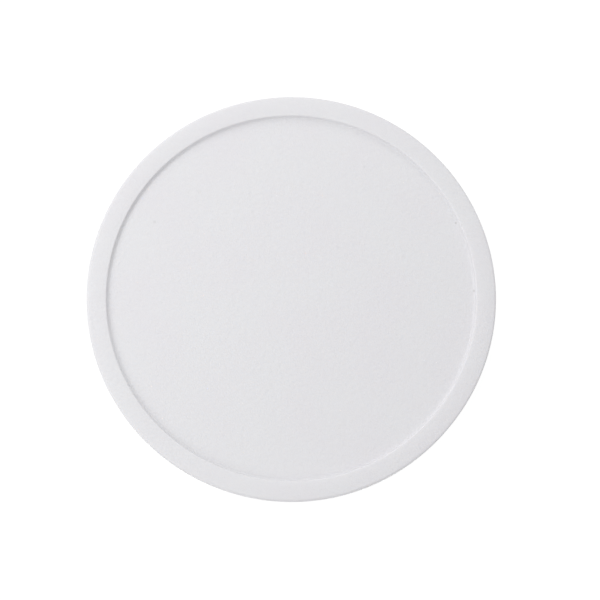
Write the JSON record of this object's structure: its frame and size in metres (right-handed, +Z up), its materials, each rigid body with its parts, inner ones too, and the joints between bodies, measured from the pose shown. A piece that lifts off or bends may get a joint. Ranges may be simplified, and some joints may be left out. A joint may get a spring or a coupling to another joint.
{
  "type": "resin casting mould",
  "caption": "Round open-face silicone mould with a shallow filleted cavity inside a raised rim, for casting a thin resin disc; soft enough to fold up across its middle.",
  "frame": {"origin": "centre of the flat underside", "axes": "+Z up out of the cavity; Y along the line that the mould folds about; +X towards the half that folds up"},
  "size_m": [0.1106, 0.1106, 0.0045],
  "materials": {
    "silicone": "matte white, fine-grained"
  },
  "bodies": {
    "left_half": {"left_half": "silicone"},
    "right_half": {"right_half": "silicone"}
  },
  "joints": [
    {"name": "fold", "type": "hinge", "parent": "left_half", "child": "right_half", "pos_m": [0, 0, 0.0045], "axis": [0, -1, 0], "range_deg": [0, 90], "stiffness_Nm_per_rad": 0.016}
  ]
}
